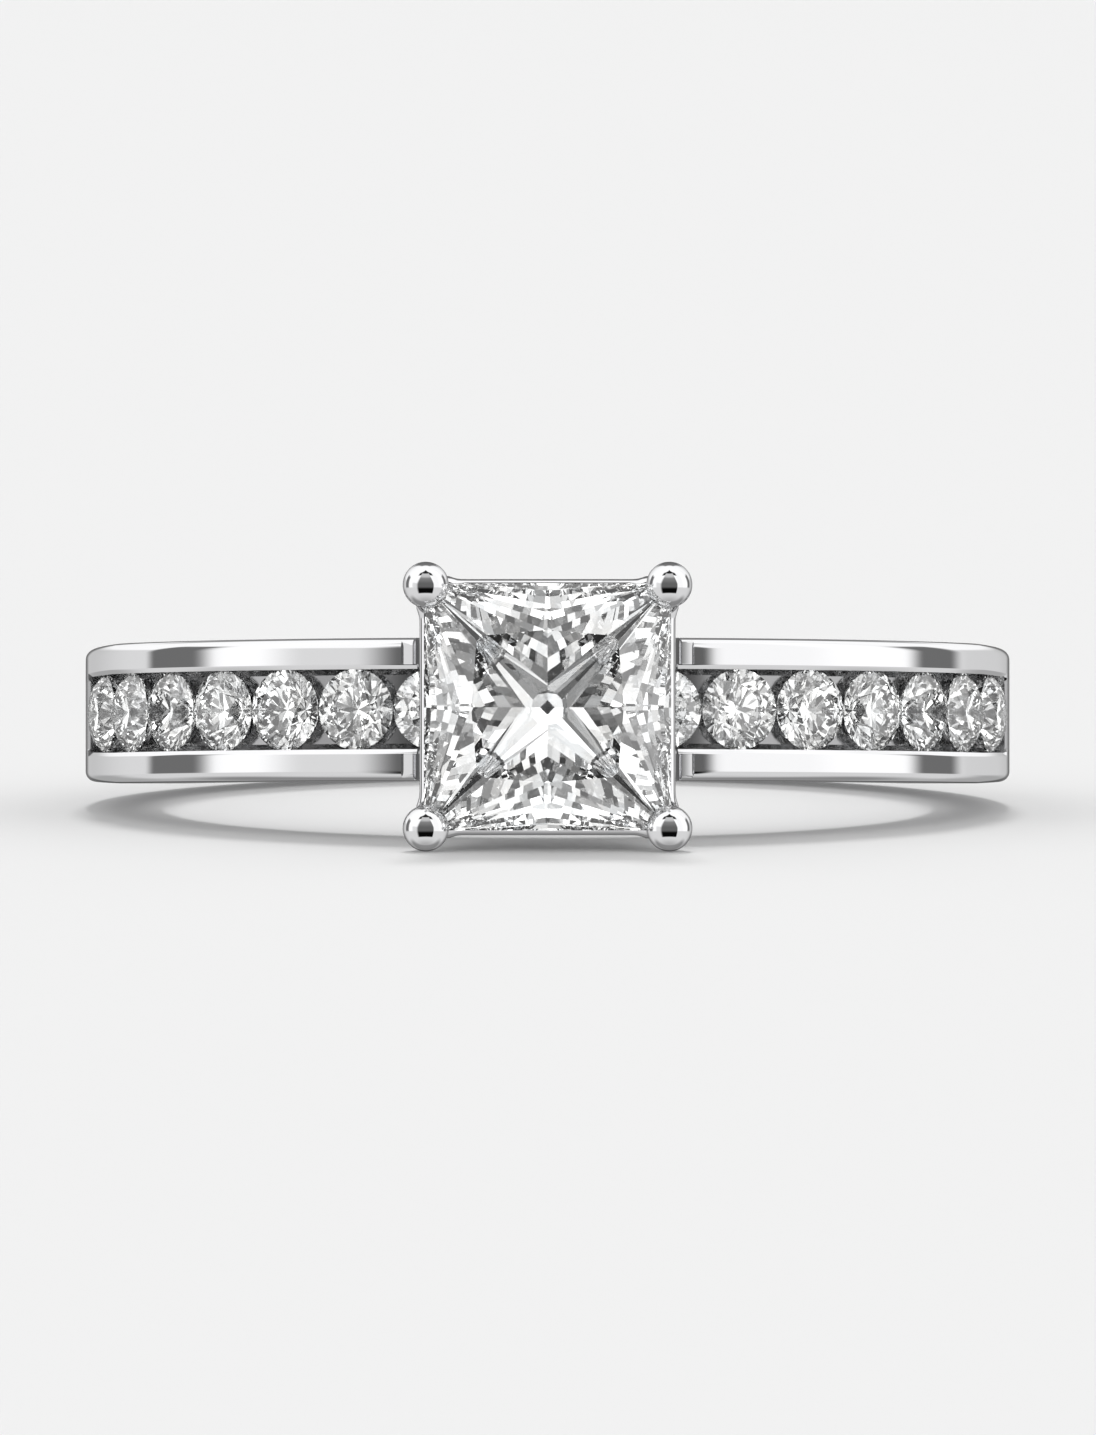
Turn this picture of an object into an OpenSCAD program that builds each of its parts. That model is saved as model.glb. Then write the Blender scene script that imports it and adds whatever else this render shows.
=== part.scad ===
// Channel-set engagement ring: a tapered shank with two rails, seven round
// brilliants in a sunk channel on each side, and a square centre stone in a
// four-prong wire basket. It lies on its side: the two lower ball tips and the
// lower back edge of the shank touch z = 0, and the head points to -Y.

/* [Piece] */
// Piece to draw, or all of them

/* [Shank] */
// Inner diameter of the shank
inner_d = 17; // [16.6:0.1:17.6]
// Radial thickness of the shank
wall = 1.75; // [1.7:0.05:1.9]
// Width of the shank along the finger, from the head to past the channel ends
band_w = 3.07; // [3.03:0.01:3.2]
// Width of the shank at the back
back_w = 2.4; // [2.2:0.1:2.6]
// Rounding of the long outer and inner edges
edge_r = 0.22; // [0.16:0.02:0.24]
// Bevel that softens the edges of the tapered back
back_bevel = 0.14; // [0.1:0.02:0.18]
// Height along the finger at which the taper leaves the full width, from the axis toward the head
taper_from = 3.6; // [2:0.2:5]

/* [Channel] */
// Clear opening between the rails
channel_w = 1.72; // [1.7:0.01:1.74]
// Width of the bevel on the inner edge of each rail
lip_wide = 0.1; // [0.06:0.02:0.12]
// Depth of that bevel
lip_deep = 0.05; // [0.03:0.01:0.06]
// Depth of the channel floor below the rail faces
channel_deep = 0.36; // [0.34:0.02:0.46]
// Half angle that the channel spans from the head
channel_end = 82; // [79.6:0.2:83]
// Depth of the lowered seat in the rails under the head
step_deep = 0.12; // [0.08:0.01:0.14]
// Half width of that seat across the ring
step_half = 2.81; // [2.75:0.01:2.85]
// Width of the narrow slot that ends the seat
slot_wide = 0.09; // [0.06:0.01:0.12]
// Depth of that slot
slot_deep = 0.22; // [0.18:0.02:0.24]
// Width of the shallow cove between the slot and the full rail face
cove_wide = 0.25; // [0.2:0.01:0.3]
// Depth of that cove
cove_deep = 0.04; // [0.03:0.01:0.06]

/* [Side stones] */
// Girdle diameter of a side stone
side_d = 1.74; // [1.7:0.01:1.75]
// Angle of the first side stone from the head
side_first = 14.1; // [14:0.1:14.4]
// Angle from one side stone to the next
side_pitch = 10; // [9.95:0.01:10.05]
// Depth of the girdle plane below the rail faces
side_sunk = 0.14; // [0.13:0.01:0.15]
// Diameter of the cone-shaped seat under a side stone, at the channel floor
seat_d = 1.42; // [1.4:0.02:1.5]
// Diameter of the hole at the foot of that seat
hole_d = 0.3; // [0.2:0.02:0.4]

/* [Centre stone] */
// Width of the centre stone
stone_w = 5.26; // [5.2:0.02:5.3]
// Height of its pavilion
pavilion_h = 3.05; // [3:0.05:3.1]
// Height of its crown
crown_h = 0.6; // [0.54:0.02:0.62]
// Thickness of its girdle
girdle_h = 0.14; // [0.1:0.02:0.16]
// Height of its point above the finger axis
culet_at = 9.6; // [9.55:0.05:9.7]

/* [Head] */
// Diameter of a ball tip
ball_d = 0.98; // [0.94:0.02:1]
// Diameter of a prong
prong_d = 0.8; // [0.76:0.02:0.84]
// Sideways distance of a prong foot from the middle
foot_x = 1.75; // [1.7:0.05:1.8]
// Distance of a prong foot from the middle along the finger
foot_z = 1.18; // [1.15:0.01:1.2]
// Distance of a ball tip from the middle, both ways
tip_at = 2.59; // [2.57:0.01:2.61]
// Diameter of the gallery wire under the girdle
gallery_d = 0.4; // [0.36:0.02:0.42]
// Diameter of the lower wire
lower_d = 0.4; // [0.36:0.02:0.42]

/* [Hidden] */
$fn = 96;

// Radii of the shank
inner_r = inner_d / 2;
outer_r = inner_r + wall;

// Slope of each side face over the tapered back
taper = atan((band_w - back_w) / 2 / (taper_from + outer_r));

// Gap left between a stone and its metal
gap = 0.035;

// Heights of the centre stone above the finger axis
girdle_low = culet_at + pavilion_h;
girdle_top = girdle_low + girdle_h;
half_w = stone_w / 2;

// Prong line, from its foot in the rail to the centre of its ball
foot = [foot_x, foot_z, outer_r - 0.5];
tip = [tip_at, tip_at, girdle_top + 0.29];

// Heights of the two wires of the basket
gallery_at = girdle_low - 0.35;
gallery_half = half_w + 0.1 - gallery_d / 2;
lower_at = outer_r + 0.55;
lower_part = (lower_at - foot[2]) / (tip[2] - foot[2]);
lower_x = foot[0] + (tip[0] - foot[0]) * lower_part;
lower_y = foot[1] + (tip[1] - foot[1]) * lower_part;

// Radii of the channel, from its floor to the rail faces
girdle_r = outer_r - side_sunk;
floor_r = outer_r - channel_deep;
ledge_r = girdle_r - 0.2;
groove_r = girdle_r - 0.06;
lip_r = girdle_r + 0.065;
groove_half = side_d / 2 + 0.03;
ledge_half = side_d / 2 - 0.13;
hole_r = girdle_r - 0.9;

// How far a cut is carried past the face that it opens
past = 0.05;

// Side stone, in parts of its radius: table, slopes and corner heights
side_r = side_d / 2;
side_table = 0.56;
side_crown = 34.5;
side_pavilion = 41;
side_girdle = 0.06;
side_top = (1 - side_table) * tan(side_crown);
star_at = (side_table * cos(22.5) + 1) / 2;
star_z = (1 - star_at * cos(22.5)) * tan(side_crown);
half_at = 0.24;
half_z = -side_girdle - (1 - half_at * cos(22.5)) * tan(side_pavilion);
culet_z = -side_girdle - tan(side_pavilion);

// Corners of a side stone, ring by ring from the table to the point
SIDE_POINTS = concat(
    [for (k = [0 : 7]) polar(side_table, 45 * k, side_top)],
    [for (k = [0 : 7]) polar(star_at, 45 * k + 22.5, star_z)],
    [for (k = [0 : 15]) polar(1, 22.5 * k, 0)],
    [for (k = [0 : 15]) polar(1, 22.5 * k, -side_girdle)],
    [for (k = [0 : 7]) polar(half_at, 45 * k + 22.5, half_z)],
    [[0, 0, culet_z]]
);

// Facets of a side stone: table, stars, kites, upper halves, girdle, lower halves, mains
SIDE_FACES = concat(
    [[for (k = [7 : -1 : 0]) k]],
    [for (k = [0 : 7]) [k, (k + 1) % 8, 8 + k]],
    [for (k = [0 : 7]) [k, 8 + k, 16 + 2 * k, 8 + (k + 7) % 8]],
    [for (k = [0 : 7]) [8 + k, 17 + 2 * k, 16 + 2 * k]],
    [for (k = [0 : 7]) [8 + k, 16 + (2 * k + 2) % 16, 17 + 2 * k]],
    [for (j = [0 : 15]) [16 + j, 16 + (j + 1) % 16, 32 + (j + 1) % 16, 32 + j]],
    [for (k = [0 : 7]) [48 + k, 32 + 2 * k, 33 + 2 * k]],
    [for (k = [0 : 7]) [48 + k, 33 + 2 * k, 32 + (2 * k + 2) % 16]],
    [for (k = [0 : 7]) [56, 48 + (k + 7) % 8, 32 + 2 * k, 48 + k]]
);

// Crown of the centre stone: slopes, and where rim, side and corner facets meet
table_part = 0.55;
rim_slope = 50;
crown_slope = 26;
crown_az = 5;
crown_a = cos(crown_az) + sin(crown_az);
rim_x = half_w * (tan(rim_slope) - crown_a * tan(crown_slope))
    / (tan(rim_slope) - cos(crown_az) * tan(crown_slope));
rim_z = (half_w - rim_x) * tan(rim_slope);
table_reach = half_w * crown_a - crown_h / tan(crown_slope);
table_mid = table_reach / cos(crown_az);
hip_sum = 2 * half_w * table_part;
table_x = (table_reach - hip_sum * sin(crown_az)) / (cos(crown_az) - sin(crown_az));
table_y = hip_sum - table_x;

// Chevron rows of the pavilion: azimuth, and where the next row takes over
ROW_AZ = [0, 3, 6, 10, 14, 19, 25, 32];
ROW_X = [0.9, 0.8, 0.7, 0.6, 0.5, 0.4, 0.29, 0];
LAST_ROW = len(ROW_AZ) - 1;

// Where the last row, the narrow mains on the diagonals and the small flat would cut
// the axis, in parts of the depth, and the corners that follow from them
last_part = 1.0145;
main_part = 0.99;
culet_part = 0.96;
main_x = (last_part - main_part)
    / (last_part * cos(ROW_AZ[LAST_ROW]) / row_a(LAST_ROW) - main_part / 2);
culet_x = 2 * (1 - culet_part / main_part);

// First corner of the mains and of the flat in the list of corners
MAIN_AT = 24 + 4 * LAST_ROW;
CULET_AT = MAIN_AT + 4;

// Corners of the centre stone, four at a time: table, crown, girdle, chevrons, mains, point
STONE_POINTS = concat(
    [for (k = [0 : 3]) turned([table_x, table_y, crown_h], k)],
    [for (k = [0 : 3]) turned([table_x, -table_y, crown_h], k)],
    [for (k = [0 : 3]) turned([table_mid, 0, crown_h], k)],
    [for (k = [0 : 3]) turned([rim_x, 0, rim_z], k)],
    [for (k = [0 : 3]) turned([half_w, half_w, 0], k)],
    [for (k = [0 : 3]) turned([half_w, half_w, -girdle_h], k)],
    [for (i = [0 : LAST_ROW - 1], k = [0 : 3])
        turned([ROW_X[i] * half_w, 0, -girdle_h - half_w * row_depth(i, ROW_X[i])], k)],
    [for (k = [0 : 3]) turned([main_x * half_w, 0, -girdle_h - half_w * row_depth(LAST_ROW, main_x)], k)],
    [for (k = [0 : 3]) turned([culet_x * half_w, 0, -girdle_h - culet_part * pavilion_h], k)]
);

// Facets of the centre stone: table, rim, crown, corners, girdle, chevrons, mains, point
STONE_FACES = concat(
    [[for (k = [3 : -1 : 0], j = [0, 8, 4]) j + k]],
    [for (k = [0 : 3]) [16 + (k + 3) % 4, 12 + k, 16 + k]],
    [for (k = [0 : 3]) [12 + k, 8 + k, k, 16 + k]],
    [for (k = [0 : 3]) [16 + (k + 3) % 4, 4 + k, 8 + k, 12 + k]],
    [for (k = [0 : 3]) [16 + k, k, 4 + (k + 1) % 4]],
    [for (k = [0 : 3]) [16 + k, 16 + (k + 1) % 4, 20 + (k + 1) % 4, 20 + k]],
    [for (k = [0 : 3]) [20 + (k + 3) % 4, 20 + k, 24 + k]],
    [for (i = [0 : LAST_ROW - 1], k = [0 : 3]) [20 + k, 28 + 4 * i + k, 24 + 4 * i + k]],
    [for (i = [0 : LAST_ROW - 1], k = [0 : 3]) [20 + (k + 3) % 4, 24 + 4 * i + k, 28 + 4 * i + k]],
    [for (k = [0 : 3]) [20 + k, MAIN_AT + (k + 1) % 4, CULET_AT + (k + 1) % 4, CULET_AT + k, MAIN_AT + k]],
    [[for (k = [0 : 3]) CULET_AT + k]]
);

// Resting pose: the back edge point, the ball and the turn that levels them
edge_y = outer_r - back_bevel;
edge_z = band_w / 2 - (edge_y + taper_from) * tan(taper);
arm = tip[2] + edge_y;
rise = tip_at - edge_z;
lay = atan2(rise, arm) + asin(ball_d / 2 / norm([arm, rise]));
lift = tip_at * cos(lay) + ball_d / 2 - tip[2] * sin(lay);
front_y = -tip[2] * cos(lay) - tip_at * sin(lay) - ball_d / 2;
back_y = outer_r * cos(lay) + (edge_z - back_bevel) * sin(lay);
shift_y = -(front_y + back_y) / 2;

// Point at a radius, an angle and a height
function polar(r, az, z) = [r * cos(az), r * sin(az), z];

// Point turned round the axis by quarter turns
function turned(p, k) = [p[0] * cos(90 * k) - p[1] * sin(90 * k), p[0] * sin(90 * k) + p[1] * cos(90 * k), p[2]];

// Reach, slope and depth at x of a pavilion row, in half widths, from the row inside it
function row_a(i) = cos(ROW_AZ[i]) + sin(ROW_AZ[i]);
function row_tan(i) = i == LAST_ROW ? last_part * pavilion_h / half_w / row_a(LAST_ROW)
    : row_depth(i + 1, ROW_X[i]) / (row_a(i) - ROW_X[i] * cos(ROW_AZ[i]));
function row_depth(i, x) = (row_a(i) - x * cos(ROW_AZ[i])) * row_tan(i);

// Puts the upright ring on its side, resting on the floor
module laid() {
    translate([0, shift_y, lift])
        rotate([-lay, 0, 0])
            children();
}

// Round brilliant, its girdle top at z = 0 and its axis along Z
module brilliant() {
    scale(side_r)
        polyhedron(SIDE_POINTS, SIDE_FACES, convexity = 2);
}

// Princess cut, its girdle top at z = 0 and its axis along Z
module princess() {
    polyhedron(STONE_POINTS, STONE_FACES, convexity = 2);
}

// Section of the shank with its four rounded corners
module band_section() {
    hull_r = edge_r;
    x0 = inner_r + hull_r;
    x1 = outer_r - hull_r;
    z1 = band_w / 2 - hull_r;
    translate([x0, -band_w / 2])
        square([x1 - x0, band_w]);
    translate([inner_r, -z1])
        square([wall, 2 * z1]);
    for (x = [x0, x1], z = [-z1, z1])
        translate([x, z])
            circle(hull_r);
}

// Solid whose bevelled top face slopes down toward the back
module taper_top() {
    translate([0, -taper_from, band_w / 2])
        rotate([-taper, 0, 0])
            translate([0, taper_from, 0])
                rotate_extrude()
                    polygon([
                        [inner_r - 0.3, -6],
                        [inner_r - 0.3, -back_bevel - 0.3],
                        [inner_r + back_bevel, 0],
                        [outer_r - back_bevel, 0],
                        [outer_r + 0.3, -back_bevel - 0.3],
                        [outer_r + 0.3, -6]
                    ]);
}

// Section of the channel: lip, girdle groove, sloped ledge and floor
module channel_section() {
    polygon([
        [floor_r, -ledge_half],
        [ledge_r, -ledge_half],
        [groove_r, -groove_half],
        [lip_r, -groove_half],
        [lip_r, -channel_w / 2],
        [outer_r - lip_deep, -channel_w / 2],
        [outer_r + lip_deep, -channel_w / 2 - 2 * lip_wide],
        [outer_r + lip_deep, channel_w / 2 + 2 * lip_wide],
        [outer_r - lip_deep, channel_w / 2],
        [lip_r, channel_w / 2],
        [lip_r, groove_half],
        [groove_r, groove_half],
        [ledge_r, ledge_half],
        [floor_r, ledge_half]
    ]);
}

// Cone-shaped seat for a side stone, from its small hole to past the channel floor
module stone_seat() {
    seat_h = floor_r - hole_r;
    flare = (seat_d - hole_d) / 2 / seat_h;
    translate([0, 0, hole_r])
        cylinder(d1 = hole_d, d2 = seat_d + 2 * past * flare, h = seat_h + past);
}

// Cut that lowers the rail faces by deep, over a half width across the ring
module rail_cut(half, deep) {
    intersection() {
        rotate_extrude()
            translate([outer_r - deep, -band_w])
                square([1, 2 * band_w]);
        translate([-half, -2 * outer_r, -band_w])
            cube([2 * half, 2 * outer_r, 2 * band_w]);
    }
}

// Slots at both ends of the seat under the head
module rail_slots() {
    intersection() {
        rail_cut(step_half + slot_wide, slot_deep);
        for (s = [-1, 1])
            translate([s * (step_half + slot_wide / 2), -outer_r, 0])
                cube([slot_wide, 2 * outer_r, 2 * band_w], center = true);
    }
}

// Shank with the channel, the stones' seats and the cuts beside the head
module shank() {
    difference() {
        intersection() {
            rotate_extrude()
                band_section();
            taper_top();
            mirror([0, 0, 1])
                taper_top();
        }
        rotate([0, 0, -90 - channel_end])
            rotate_extrude(angle = 2 * channel_end)
                channel_section();
        for (k = [0 : 6], s = [-1, 1])
            at_side(s * (side_first + k * side_pitch))
                stone_seat();
        at_side(0)
            stone_seat();
        rail_cut(step_half, step_deep);
        rail_cut(step_half + slot_wide + cove_wide, cove_deep);
        rail_slots();
    }
}

// Turns a piece built along Z to point outward at an angle from the head
module at_side(angle) {
    rotate([0, 0, angle])
        rotate([90, 0, 0])
            children();
}

// Round bar from one point to another
module bar(a, b, d) {
    v = b - a;
    translate(a)
        rotate([0, acos(v[2] / norm(v)), atan2(v[1], v[0])])
            cylinder(d = d, h = norm(v));
}

// Square of wire round the axis, with half sizes x and y at height z
module wire_square(x, y, z, d) {
    for (s = [-1, 1]) {
        bar([-x, s * y, z], [x, s * y, z], d);
        bar([s * x, -y, z], [s * x, y, z], d);
    }
}

// Wire basket with four prongs and ball tips, notched for the stone
module head() {
    difference() {
        union() {
            for (sx = [-1, 1], sy = [-1, 1]) {
                bar([sx * foot[0], sy * foot[1], foot[2]], [sx * tip[0], sy * tip[1], tip[2]], prong_d);
                translate([sx * tip[0], sy * tip[1], tip[2]])
                    sphere(d = ball_d);
            }
            wire_square(gallery_half, gallery_half, gallery_at, gallery_d);
            wire_square(lower_x, lower_y, lower_at, lower_d);
        }
        translate([0, 0, girdle_low])
            scale(1 + gap / half_w)
                translate([0, 0, girdle_h])
                    princess();
    }
}

// All soldered metal
module ring_body() {
    color([0.86, 0.86, 0.87])
        laid()
            union() {
                shank();
                at_side(0)
                    head();
            }
}

// Square stone in the head
module centre_stone() {
    color([0.9, 0.94, 1])
        laid()
            at_side(0)
                translate([0, 0, girdle_top])
                    princess();
}

// Side stone at an angle from the head
module side_stone(angle) {
    color([0.9, 0.94, 1])
        laid()
            at_side(angle)
                translate([0, 0, girdle_r + side_girdle * side_r / 2])
                    brilliant();
}

// Side stones to the left of the head, from the nearest outward
module side_stone_l1() { side_stone(-side_first); }
module side_stone_l2() { side_stone(-side_first - side_pitch); }
module side_stone_l3() { side_stone(-side_first - 2 * side_pitch); }
module side_stone_l4() { side_stone(-side_first - 3 * side_pitch); }
module side_stone_l5() { side_stone(-side_first - 4 * side_pitch); }
module side_stone_l6() { side_stone(-side_first - 5 * side_pitch); }
module side_stone_l7() { side_stone(-side_first - 6 * side_pitch); }

// Side stones to the right of the head, from the nearest outward
module side_stone_r1() { side_stone(side_first); }
module side_stone_r2() { side_stone(side_first + side_pitch); }
module side_stone_r3() { side_stone(side_first + 2 * side_pitch); }
module side_stone_r4() { side_stone(side_first + 3 * side_pitch); }
module side_stone_r5() { side_stone(side_first + 4 * side_pitch); }
module side_stone_r6() { side_stone(side_first + 5 * side_pitch); }
module side_stone_r7() { side_stone(side_first + 6 * side_pitch); }

ring_body();
centre_stone();
side_stone_l1();
side_stone_l2();
side_stone_l3();
side_stone_l4();
side_stone_l5();
side_stone_l6();
side_stone_l7();
side_stone_r1();
side_stone_r2();
side_stone_r3();
side_stone_r4();
side_stone_r5();
side_stone_r6();
side_stone_r7();
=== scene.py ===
# %% [markdown]
# A channel-set engagement ring, lying on its side
# ------------------------------------------------
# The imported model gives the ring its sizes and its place: a shank with two rails, seven round stones in
# a sunk channel on each side of the head, and a square stone held by four ball-tipped prongs. This lesson
# dresses it. Everything is in metres in the model's own frame, and most shapes are first worked out in
# millimetres in the ring's own upright frame, then laid on the floor by one turn.

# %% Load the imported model
from itertools import combinations

import bpy
import numpy as np
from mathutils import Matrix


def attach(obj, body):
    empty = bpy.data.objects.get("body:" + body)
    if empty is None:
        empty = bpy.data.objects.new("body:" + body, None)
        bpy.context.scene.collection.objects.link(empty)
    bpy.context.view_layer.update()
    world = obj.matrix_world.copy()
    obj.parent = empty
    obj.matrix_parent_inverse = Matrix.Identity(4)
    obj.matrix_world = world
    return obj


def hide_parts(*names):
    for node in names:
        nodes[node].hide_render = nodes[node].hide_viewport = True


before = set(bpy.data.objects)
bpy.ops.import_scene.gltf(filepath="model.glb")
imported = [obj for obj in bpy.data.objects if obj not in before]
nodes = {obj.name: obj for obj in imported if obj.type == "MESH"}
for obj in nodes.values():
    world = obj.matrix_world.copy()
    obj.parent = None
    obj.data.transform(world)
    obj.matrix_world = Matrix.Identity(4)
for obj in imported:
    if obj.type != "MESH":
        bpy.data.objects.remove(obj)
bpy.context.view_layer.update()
print("nodes:", sorted(nodes))

# %% [markdown]
# Sizes
# -----
# The numbers are those of the model, in millimetres. The ring frame has the finger axis along Z and the
# head toward -Y. A ring laid down rests on its two lower ball tips and on the lower back edge of the
# shank, so the whole ring is turned by a few degrees about X. The turn follows from the shape: the line
# under a ball of radius b at height p and the edge point at height e is level when
# turn = atan2(rise, arm) + asin(b / hypot(arm, rise)).

# %% Sizes and the resting turn
# the shank: radii, half width at the head and at the back, and the y from which it tapers
INNER_R = 8.5
OUTER_R = 10.25
BAND_HALF = 1.535
BACK_HALF = 1.2
TAPER_FROM = 3.6
EDGE_R = 0.22
BACK_BEVEL = 0.14
# the channel: half width, end in degrees from the head, its lips, and the radii of what lies in it
CHANNEL_HALF = 0.86
CHANNEL_END = 82.0
LIP_WIDE = 0.1
LIP_DEEP = 0.05
GIRDLE_R = OUTER_R - 0.14
FLOOR_R = OUTER_R - 0.36
LEDGE_R = GIRDLE_R - 0.2
GROOVE_R = GIRDLE_R - 0.06
LIP_R = GIRDLE_R + 0.065
GROOVE_HALF = 0.9
LEDGE_HALF = 0.74
# the rails beside the head: where the cove, the slot and the lowered seat start, and how deep they are
COVE_FROM = 3.15
SLOT_FROM = 2.9
STEP_HALF = 2.81
COVE_DEEP = 0.06
COVE_RISE_LEFT = 0.05
COVE_RISE_RIGHT = 0.014
SLOT_DEEP = 0.22
STEP_DEEP = 0.12
# the round stones and the wells under them, with their places in degrees from the head
SIDE_R = 0.87
SIDE_FIRST = 14.1
SIDE_PITCH = 10.0
SIDE_COUNT = 7
SEAT_R = 0.71
HOLE_R = 0.15
HOLE_DEEP = 0.9
# the square stone, from its culet up
STONE_HALF = 2.63
CULET_AT = 9.6
PAVILION_H = 3.05
GIRDLE_H = 0.14
CROWN_H = 0.6
GIRDLE_TOP = CULET_AT + PAVILION_H + GIRDLE_H
# the prongs and wires of the head
FOOT_ACROSS = 1.75
FOOT_ALONG = 1.18
FOOT_UP = OUTER_R - 0.5
TIP_AT = 2.59
TIP_UP = GIRDLE_TOP + 0.29
BALL_R = 0.49
PRONG_R = 0.4
WIRE_R = 0.2
GALLERY_UP = GIRDLE_TOP - GIRDLE_H - 0.35
LOWER_WIRE_UP = OUTER_R + 0.55

taper_tan = (BAND_HALF - BACK_HALF) / (TAPER_FROM + OUTER_R)
edge_y = OUTER_R - BACK_BEVEL
edge_z = BAND_HALF - (edge_y + TAPER_FROM) * taper_tan
arm, rise = TIP_UP + edge_y, TIP_AT - edge_z
LAY = np.arctan2(rise, arm) + np.arcsin(BALL_R / np.hypot(arm, rise))
LIFT = TIP_AT * np.cos(LAY) + BALL_R - TIP_UP * np.sin(LAY)
front_y = -TIP_UP * np.cos(LAY) - TIP_AT * np.sin(LAY) - BALL_R
back_y = OUTER_R * np.cos(LAY) + (edge_z - BACK_BEVEL) * np.sin(LAY)
SHIFT_Y = -(front_y + back_y) / 2
print("resting turn in degrees:", round(float(np.degrees(LAY)), 3), "axis height mm:", round(float(LIFT), 3))


def laid(points):
    """Ring frame in mm to row frame in m: y' = y cos t + z sin t + shift, z' = -y sin t + z cos t + lift."""
    x, y, z = np.moveaxis(np.asarray(points, float), -1, 0)
    c, s = np.cos(LAY), np.sin(LAY)
    return np.stack([x, y * c + z * s + SHIFT_Y, -y * s + z * c + LIFT], -1) / 1000.0


def outward(points, angle):
    """Piece frame (x across, y along the finger, z out) to ring frame: z points out at angle from -Y."""
    x, y, z = np.moveaxis(np.asarray(points, float), -1, 0)
    a = np.radians(angle)
    return np.stack([x * np.cos(a) + z * np.sin(a), x * np.sin(a) - z * np.cos(a), y], -1)


def new_mesh(name, points, faces, smooth=False, sharp=None):
    """Makes an object from laid points and a list or array of faces, with faces pointing outwards."""
    mesh = bpy.data.meshes.new(name)
    mesh.from_pydata(np.asarray(points).reshape(-1, 3).tolist(), [], np.asarray(faces).tolist()
                     if isinstance(faces, np.ndarray) else faces)
    mesh.validate()
    obj = bpy.data.objects.new(name, mesh)
    bpy.context.scene.collection.objects.link(obj)
    if smooth:
        mesh.shade_smooth()
    if sharp:
        mesh.set_sharp_from_angle(angle=np.radians(sharp))
    return obj


def grid_faces(rows, cols, wrap_rows=False, wrap_cols=False):
    """Quads of a rows x cols grid of points, numbered row by row, wrapped where asked."""
    i = np.arange(rows if wrap_rows else rows - 1)[:, None]
    j = np.arange(cols if wrap_cols else cols - 1)[None, :]
    i2, j2 = (i + 1) % rows, (j + 1) % cols
    quads = np.stack([i * cols + j, i * cols + j2, i2 * cols + j2, i2 * cols + j], -1)
    return quads.reshape(-1, 4)


# %% [markdown]
# The shank
# ---------
# A jeweller makes such a shank from a thick strip, bends and solders it, mills the channel along its front
# half, and drills a seat for every stone. The same cuts could be booleans on a plain band, but they leave
# ragged faces that a mirror finish shows at once. Here it is one closed section carried round the finger
# axis. Each station of the sweep has the same number of points, so the channel can open and close: past its
# ends the channel points lie on the outer face, and two stations at nearly the same angle make the end
# wall. The floor points are a height field, so the drilled wells appear in it.

# %% Section of the shank
def arc(cx, cz, r, a0, a1, n):
    """Points of an arc: (cx + r cos a, cz + r sin a), a from a0 to a1 degrees."""
    a = np.radians(np.linspace(a0, a1, n))
    return np.stack([cx + r * np.cos(a), cz + r * np.sin(a)], -1)


def half_section(state):
    """Upper half of the section as rows (r, z), with two marks per row. The first is 1 where the row hangs
    from the side face, 2 where it lies on the rail and 1.5 where it does both. The second is 1 on the rows
    that make the channel's bed, and on the same rows of a closed section. state is 'channel', 'seat' under
    the head, 'bevel' at the top of the channel's end wall, or 'closed'. Rows lie a hair, near, beside each
    rounding, so that flat faces shade flat up to it."""
    near = 0.012
    h = BAND_HALF
    lip_z = CHANNEL_HALF + LIP_WIDE
    inner = np.array([[INNER_R, z] for z in (0.0, 0.35, 0.7, 1.0, 1.2, h - EDGE_R - near)])
    corner_in = arc(INNER_R + EDGE_R, h - EDGE_R, EDGE_R, 180, 90, 9)
    top = np.array([[r, h] for r in (INNER_R + EDGE_R + near, 9.1, 9.4, 9.7, OUTER_R - EDGE_R - near)])
    corner_out = arc(OUTER_R - EDGE_R, h - EDGE_R, EDGE_R, 90, 0, 13)
    rail = np.array([[OUTER_R, z] for z in (h - EDGE_R - near, 1.25, 1.15, 1.05, lip_z + near)])
    bed_z = np.linspace(LEDGE_HALF, 0, 17)[1:]
    if state in ("closed", "bevel"):
        spread = np.linspace(lip_z, 0, 28)[:-1]
        lip = [[OUTER_R, z] for z in spread[:6]]
        deep = [[OUTER_R, z] for z in spread[6:11]]
        floor = [[OUTER_R, z] for z in np.append(spread[12:], 0)]
        if state == "bevel":
            deep = [[OUTER_R - LIP_DEEP, z] for z in spread[6:11]]
            floor = [[OUTER_R - LIP_DEEP, z] for z in np.append(spread[12:], 0)]
    else:
        lip = [[OUTER_R, lip_z],
               [OUTER_R - 0.003, lip_z - 0.012],
               [OUTER_R - 0.2 * LIP_DEEP, lip_z - 0.25 * LIP_WIDE],
               [OUTER_R - 0.8 * LIP_DEEP, lip_z - 0.8 * LIP_WIDE],
               [OUTER_R - LIP_DEEP, CHANNEL_HALF + 0.004],
               [OUTER_R - LIP_DEEP - 0.008, CHANNEL_HALF]]
        if state == "seat":
            lip = [[OUTER_R - STEP_DEEP, lip_z]] * 6
        deep = [[LIP_R, CHANNEL_HALF], [LIP_R, GROOVE_HALF], [GROOVE_R, GROOVE_HALF],
                [LEDGE_R, LEDGE_HALF], [FLOOR_R, LEDGE_HALF]]
        floor = [[FLOOR_R, z] for z in bed_z]
    parts = [inner, corner_in, top, corner_out, rail, np.array(lip), np.array(deep), np.array(floor)]
    edge = np.concatenate([np.full(len(p), v) for p, v in zip(parts, (0, 1, 1, 1.5, 2, 0, 0, 0))])
    bed = np.concatenate([np.full(len(p), v) for p, v in zip(parts, (0, 0, 0, 0, 0, 0, 1, 1))])
    return np.concatenate(parts), edge, bed


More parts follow.
